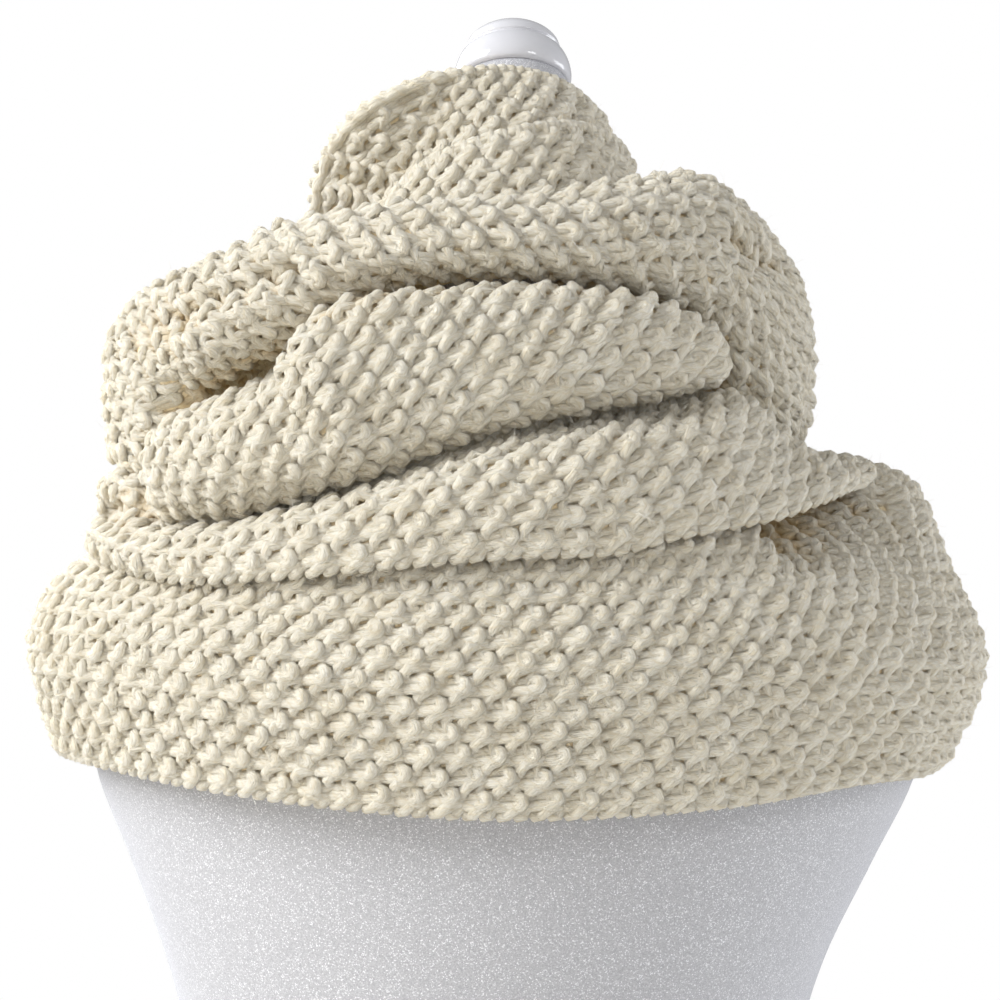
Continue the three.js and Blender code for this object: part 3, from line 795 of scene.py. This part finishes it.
def backingShell(name, cloth):
    skipColumns, skipRows = backingSheet["skipColumns"], backingSheet["skipRows"]
    grid = cloth.grid[::skipColumns, ::skipRows]
    normal = cloth.normal[::skipColumns, ::skipRows]
    if cloth.open:
        grid = np.concatenate([grid, cloth.grid[-1:, ::skipRows]])
        normal = np.concatenate([normal, cloth.normal[-1:, ::skipRows]])
    n, m = grid.shape[:2]
    behind, half = backingSheet["behind"], backingSheet["thick"] / 2
    points = np.concatenate([
        (grid - normal * (behind - half)).reshape(-1, 3),
        (grid - normal * (behind + half)).reshape(-1, 3),
    ])
    spans = n - 1 if cloth.open else n
    i, k = np.meshgrid(np.arange(spans), np.arange(m - 1), indexing="ij")
    i, k = i.ravel(), k.ravel()
    j = (i + 1) % n
    front = np.stack([i * m + k, j * m + k, j * m + k + 1, i * m + k + 1], 1)
    parts = [front, front[:, ::-1] + n * m]
    # walls that join the two skins: along both selvedges, and at the ends of an open stretch
    i, k = np.arange(spans), np.arange(m - 1)
    walls = [(i * m + edge, (i + 1) % n * m + edge) for edge in (0, m - 1)]
    if cloth.open:
        walls += [(edge * m + k, edge * m + k + 1) for edge in (0, n - 1)]
    for a, b in walls:
        parts.append(np.stack([a, b, b + n * m, a + n * m], 1))
    obj = meshObject(name, points, np.concatenate(parts), backing)
    bm = bmesh.new()
    bm.from_mesh(obj.data)
    bmesh.ops.recalc_face_normals(bm, faces=bm.faces)
    bm.to_mesh(obj.data)
    bm.free()
    return obj


# how uneven the hand's stitches are, as the usual spread of each measure
uneven = {"width": 0.08, "rise": 0.2, "along": 0.6, "out": 0.36, "across": 0.5, "thick": 0.03}
# how far the yarn may reach past a selvedge
selvedgeReach = 9


def coursePath(cloth, stretch, az, course):
    # one course's yarn as distance along the section, across the course and out of the cloth
    length = np.interp(az, cloth.azimuths, cloth.length)
    start = stretch["anchor"] * length
    stitch = gauge["stitch"]
    j = np.arange(math.floor(-start / stitch), math.ceil((length - start) / stitch))
    if stretch["anchor"] == 0:
        j = j[j >= 0]
    if stretch["anchor"] == 1:
        j = j[j < 0]
    slack = rng.normal(0, 1, (len(j), 5))
    kinds = ["head" if (one + course) % 2 == 0 else "foot" for one in j]
    t, rise, full = np.concatenate([loops[kind] for kind in kinds]).T
    own = np.repeat(np.arange(len(j)), [len(loops[kind]) for kind in kinds])
    width, tall, along, out, across = slack[own].T
    swell = np.sin(np.pi * t)
    u = j[own] + t + gauge["waist"] * np.sin(4 * np.pi * t) + gauge["pinch"] * np.sin(2 * np.pi * t)
    u = u * stitch + uneven["along"] * along * swell - loopSlant * stitch * np.cos(2 * np.pi * t)
    w = -gauge["loop"] * (1 + uneven["width"] * width) * np.cos(2 * np.pi * t)
    w = w + uneven["across"] * across * swell
    n = rise * gauge["depth"] * (1 + uneven["rise"] * tall) + uneven["out"] * out * swell
    s = start + u
    fromStart = stretch["selvedge"] and stretch["anchor"] == 0
    fromEnd = stretch["selvedge"] and stretch["anchor"] == 1
    if fromStart:
        s = np.concatenate([edgeTurn[:, 0], s[1:]])
        w = np.concatenate([edgeTurn[:, 1] - gauge["loop"], w[1:]])
        n = np.concatenate([edgeTurn[:, 2], n[1:]])
        full = np.concatenate([edgeTurn[:, 3], full[1:]])
    if fromEnd:
        turn = edgeTurn[::-1]
        s = np.concatenate([s, length - turn[:, 0]])
        w = np.concatenate([w, turn[:, 1] - gauge["loop"]])
        n = np.concatenate([n, turn[:, 2]])
        full = np.concatenate([full, turn[:, 3]])
    low = -selvedgeReach if fromStart else stretch["hidden"][0] * length
    high = length + (selvedgeReach if fromEnd else -stretch["hidden"][1] * length)
    keep = (s >= low) & (s <= high)
    lean = np.interp(az, *stretch["lean"])
    return s[keep], w[keep] + lean * (s[keep] - start), n[keep] - gauge["sink"], full[keep]


def knit(name, stretch, cloth):
    total = cloth.around[-1]
    count = int(round(total / gauge["course"] / 2)) * 2
    pitch = total / count
    either = 4
    paths = []
    for course in range(count):
        place = (course + 0.5) * pitch
        az = np.interp(place, cloth.around, cloth.azimuths)
        s, across, n, full = coursePath(cloth, stretch, az, course)
        # millimetres across the course turned into azimuth where it runs
        a, b = np.interp([place - either, place + either], cloth.around, cloth.azimuths)
        reach = min(place + either, total) - max(place - either, 0)
        azs = az + across * (b - a) / reach * pitch / gauge["course"]
        paths.append((azs, s, n, full))
    share = math.ceil(len(paths) / stretch["parts"])
    made = []
    for part in range(stretch["parts"]):
        label = name if stretch["parts"] == 1 else f"{name}_{part + 1}"
        made.append(yarnMesh(label, cloth, paths[part * share:(part + 1) * share]))
    return made


def tubeRings(centre, side, top, turns, thick, wide=1, high=1):
    spread = np.cos(turns)[None, :, None] * side[:, None] * wide
    lift = np.sin(turns)[None, :, None] * top[:, None] * high
    return centre[:, None] + (spread + lift) * thick[:, None, None]


def tubeFaces(run, sides, closed=False):
    # a tube's faces and their places on the yarn map, from distances run along it
    spans = len(run) - 1
    i, k = np.meshgrid(np.arange(spans), np.arange(sides), indexing="ij")
    i, k = i.ravel(), k.ravel()
    a, b = i * sides, ((i + 1) % spans if closed else i + 1) * sides
    beside = (k + 1) % sides
    quads = np.stack([a + beside, b + beside, b + k, a + k], 1)
    near, far = k / sides, (k + 1) / sides
    corners = [(run[i], far), (run[i + 1], far), (run[i + 1], near), (run[i], near)]
    return quads, np.stack([np.stack(corner, 1) for corner in corners], 1)


def addRise(obj, rise):
    layer = obj.data.attributes.new("rise", "FLOAT", "POINT")
    layer.data.foreach_set("value", rise.astype(np.float32))


def yarnMesh(name, cloth, paths):
    sides = len(yarnRing)
    points, quads, uvs, rises = [], [], [], []
    offset = 0
    for azs, s, n, full in paths:
        length = np.interp(azs, cloth.azimuths, cloth.length, period=None if cloth.open else 360)
        normal = unit(cloth.read(cloth.normal, azs, s))
        centre = cloth.read(cloth.grid, azs, s) + normal * n[:, None]
        # what reaches past an edge is carried on straight along the section
        centre += cloth.heading(azs, s * 0, s * 0 + 2) * np.minimum(s, 0)[:, None]
        centre += cloth.heading(azs, length - 2, length) * np.maximum(s - length, 0)[:, None]
        tangent = unit(np.gradient(centre, axis=0))
        side = unit(np.cross(tangent, normal))
        top = np.cross(side, tangent)
        thick = gauge["radius"] * full * (1 + uneven["thick"] * rng.normal(0, 1, len(centre)))
        thick[0] = thick[-1] = gauge["endRadius"]
        ring = tubeRings(centre, side, top, yarnRing, thick, gauge["wide"], gauge["high"])
        points.append(ring.reshape(-1, 3))
        run = np.append(0, np.cumsum(np.linalg.norm(np.diff(centre, axis=0), axis=1))) * mm
        quad, uv = tubeFaces(run + rng.random() * 0.1, sides)
        # rise, which the wool's painted shade reads: the yarn's height out of the cloth, less the
        # painted shade of tucks and creases, and lower on each strand's underside
        rise = n - cloth.read(cloth.tuck, azs, s)[:, 0]
        rises.append(np.repeat(rise, sides) + (np.sin(yarnRing)[None, :] * thick[:, None]).ravel())
        quads.append(quad + offset)
        uvs.append(uv)
        offset += len(centre) * sides
    obj = meshObject(name, np.concatenate(points), np.concatenate(quads), wool, np.concatenate(uvs))
    addRise(obj, np.concatenate(rises))
    print(name, len(obj.data.polygons) * 2, "triangles")
    return obj


# the slipped stitches that lie along a free edge: how one swells, quarter by quarter, how thick it
# is between and at its fullest, and how far past the edge it lies
slipped = {
    "beat": [0, 0.8, 1, 0.35], "least": 0.86, "fuller": 0.2, "uneven": 0.04,
    "past": 0.6, "pastSwell": 0.7, "sides": 8, "rise": 1.6,
}


def edgeCord(name, cloth, radius, swell, outward):
    count = int(round(cloth.around[-1] / gauge["course"] / 2)) * 2
    quarters = len(slipped["beat"])
    azs = np.linspace(-180, 180, count * quarters + 1)[:-1]
    beat = np.tile(slipped["beat"], count)
    length = np.interp(azs, cloth.azimuths, cloth.length)
    normal = unit(cloth.read(cloth.normal, azs, length))
    centre = cloth.read(cloth.grid, azs, length) + normal * (outward + swell * beat)[:, None]
    past = slipped["past"] + slipped["pastSwell"] * swell * beat
    centre += cloth.heading(azs, length - 2, length) * past[:, None]
    ahead = unit(np.roll(centre, -1, 0) - np.roll(centre, 1, 0))
    side = unit(np.cross(ahead, normal))
    turns = np.arange(slipped["sides"]) * 2 * math.pi / slipped["sides"]
    thick = radius * (slipped["least"] + slipped["fuller"] * beat)
    thick *= 1 + slipped["uneven"] * rng.normal(0, 1, len(beat))
    ring = tubeRings(centre, side, np.cross(side, ahead), turns, thick)
    run = np.arange(len(beat) + 1) * gauge["course"] / quarters * mm
    quads, uvs = tubeFaces(run, slipped["sides"], closed=True)
    obj = meshObject(name, ring.reshape(-1, 3), quads, wool, uvs)
    addRise(obj, np.full(len(obj.data.vertices), slipped["rise"]))
    return obj


# loose fibres, in millimetres: one for each so many points of the yarn
hair = {
    "every": 14, "shortest": 1.5, "longest": 5.0, "halfWidth": 0.07, "taper": 0.6,
    "out": 0.6, "wander": 0.6, "bend": 0.45, "rooted": 0.3, "above": 0.5, "spans": 2,
}


def fuzz(name, yarns, seedling):
    # fibres that stand out of the yarn, as thin bent ribbons
    picker = np.random.default_rng(seedling)
    roots, outs = [], []
    for yarn in yarns:
        total = len(yarn.data.vertices)
        co = np.empty(total * 3, np.float32)
        no = np.empty(total * 3, np.float32)
        rise = np.empty(total, np.float32)
        yarn.data.vertices.foreach_get("co", co)
        yarn.data.vertices.foreach_get("normal", no)
        yarn.data.attributes["rise"].data.foreach_get("value", rise)
        ok = rise > hair["above"]
        roots.append(co.reshape(-1, 3)[ok] / mm)
        outs.append(no.reshape(-1, 3)[ok])
    roots, outs = np.concatenate(roots), np.concatenate(outs)
    count = int(sum(len(yarn.data.vertices) for yarn in yarns) / hair["every"])
    chosen = picker.choice(len(roots), count, replace=False)
    root, out = roots[chosen], outs[chosen]
    aim = out * hair["out"] + picker.normal(0, 1, (count, 3)) * hair["wander"]
    aim /= np.linalg.norm(aim, axis=1, keepdims=True)
    bend = picker.normal(0, 1, (count, 3))
    long = picker.uniform(hair["shortest"], hair["longest"], (count, 1))
    across = unit(np.cross(aim, bend))
    rows = []
    for step in np.linspace(0, 1, hair["spans"] + 1):
        middle = root + aim * (long * step - hair["rooted"]) + bend * (hair["bend"] * long * step * step)
        wide = hair["halfWidth"] * (1 - hair["taper"] * step)
        rows.append(np.stack([middle - across * wide, middle + across * wide], 1))
    points = np.stack(rows, 1).reshape(-1, 3)
    base = np.arange(count)[:, None] * 2 * len(rows)
    quads = np.concatenate([
        base + np.array([[2 * k, 2 * k + 1, 2 * k + 3, 2 * k + 2]]) for k in range(hair["spans"])
    ])
    return meshObject(name, points, quads, fibreWool)


def makeStretch(name, stretch):
    cloth = Cloth(stretch)
    yarns = knit(f"{name}_yarn", stretch, cloth)
    if "edge" in stretch:
        yarns.append(edgeCord(f"{name}_edge", cloth, *stretch["edge"]))
    yarns.append(fuzz(f"{name}_fuzz", yarns, len(name)))
    shell = backingShell(f"{name}_cloth", cloth)
    finishPiece(shell, name)
    for yarn in yarns:
        finishPiece(yarn, name)
    wide = float(cloth.length.mean()) * mm
    print(name, "band", round(wide, 3), "by", round(float(cloth.around[-1]) * mm, 3))


for name, stretch in stretches.items():
    makeStretch(name, stretch)
print("scarf knitted")


# Floor, lights and background
def areaLight(name, place, target, size, power, colour, spread=180):
    data = bpy.data.lights.new(name, "AREA")
    data.shape = "RECTANGLE"
    data.size, data.size_y = size
    data.energy = power
    data.color = colour
    data.spread = math.radians(spread)
    obj = bpy.data.objects.new(name, data)
    obj.location = place
    direction = Vector(target) - Vector(place)
    obj.rotation_euler = direction.to_track_quat("-Z", "Y").to_euler()
    scene.collection.objects.link(obj)


areaLight("key_left", (-1.4, -0.55, 1.35), (0, 0, 0.55), (0.8, 0.9), 37, (0.975, 0.985, 1))
areaLight("back_left", (-1.0, 0.9, 1.2), (0, 0, 0.6), (0.8, 1.0), 22, (0.99, 0.99, 0.99))
areaLight("warm_low", (-0.75, -0.8, 0.25), (-0.08, 0, 0.62), (0.5, 0.5), 1.5, (1, 0.86, 0.58))
areaLight("front_low", (-0.3, -1.4, 0.35), (-0.03, 0, 0.42), (0.6, 0.3), 0.16, (0.99, 0.99, 1), 36)
areaLight("front_fill", (0.3, -1.9, 0.7), (0, 0, 0.45), (1.4, 0.9), 3, (0.98, 0.985, 1))
areaLight("right_low", (1.6, 0.2, 0.5), (0, 0, 0.4), (0.8, 1.2), 16, (0.95, 0.97, 1))
areaLight("glint", (0.75, -1.0, 1.15), (0, 0, 0.75), (0.3, 0.34), 2.5, (1, 1, 1))

world = bpy.data.worlds.new("studio")
world.use_nodes = True
worldTree = world.node_tree
dim = worldTree.nodes["Background"]
dim.inputs["Color"].default_value = (0.99, 0.99, 0.985, 1)
dim.inputs["Strength"].default_value = 0.345
bright = worldTree.nodes.new("ShaderNodeBackground")
bright.inputs["Color"].default_value = (1, 1, 1, 1)
bright.inputs["Strength"].default_value = 1.0
seen = worldTree.nodes.new("ShaderNodeLightPath")
either = worldTree.nodes.new("ShaderNodeMixShader")
worldTree.links.new(seen.outputs["Is Camera Ray"], either.inputs["Fac"])
worldTree.links.new(dim.outputs["Background"], either.inputs[1])
worldTree.links.new(bright.outputs["Background"], either.inputs[2])
worldTree.links.new(either.outputs["Shader"], worldTree.nodes["World Output"].inputs["Surface"])
scene.world = world

floorDisc = {"radius": 0.95, "around": 96, "colour": (0.82, 0.82, 0.81, 1), "roughness": 0.7}
bm = bmesh.new()
bmesh.ops.create_circle(
    bm, cap_ends=True, segments=floorDisc["around"], radius=floorDisc["radius"]
)
paleFloor = newMaterial("pale_floor", {
    "Base Color": floorDisc["colour"], "Roughness": floorDisc["roughness"],
})[0]
floor = fromBmesh("floor", bm, paleFloor, rounded=False)
print("studio made")
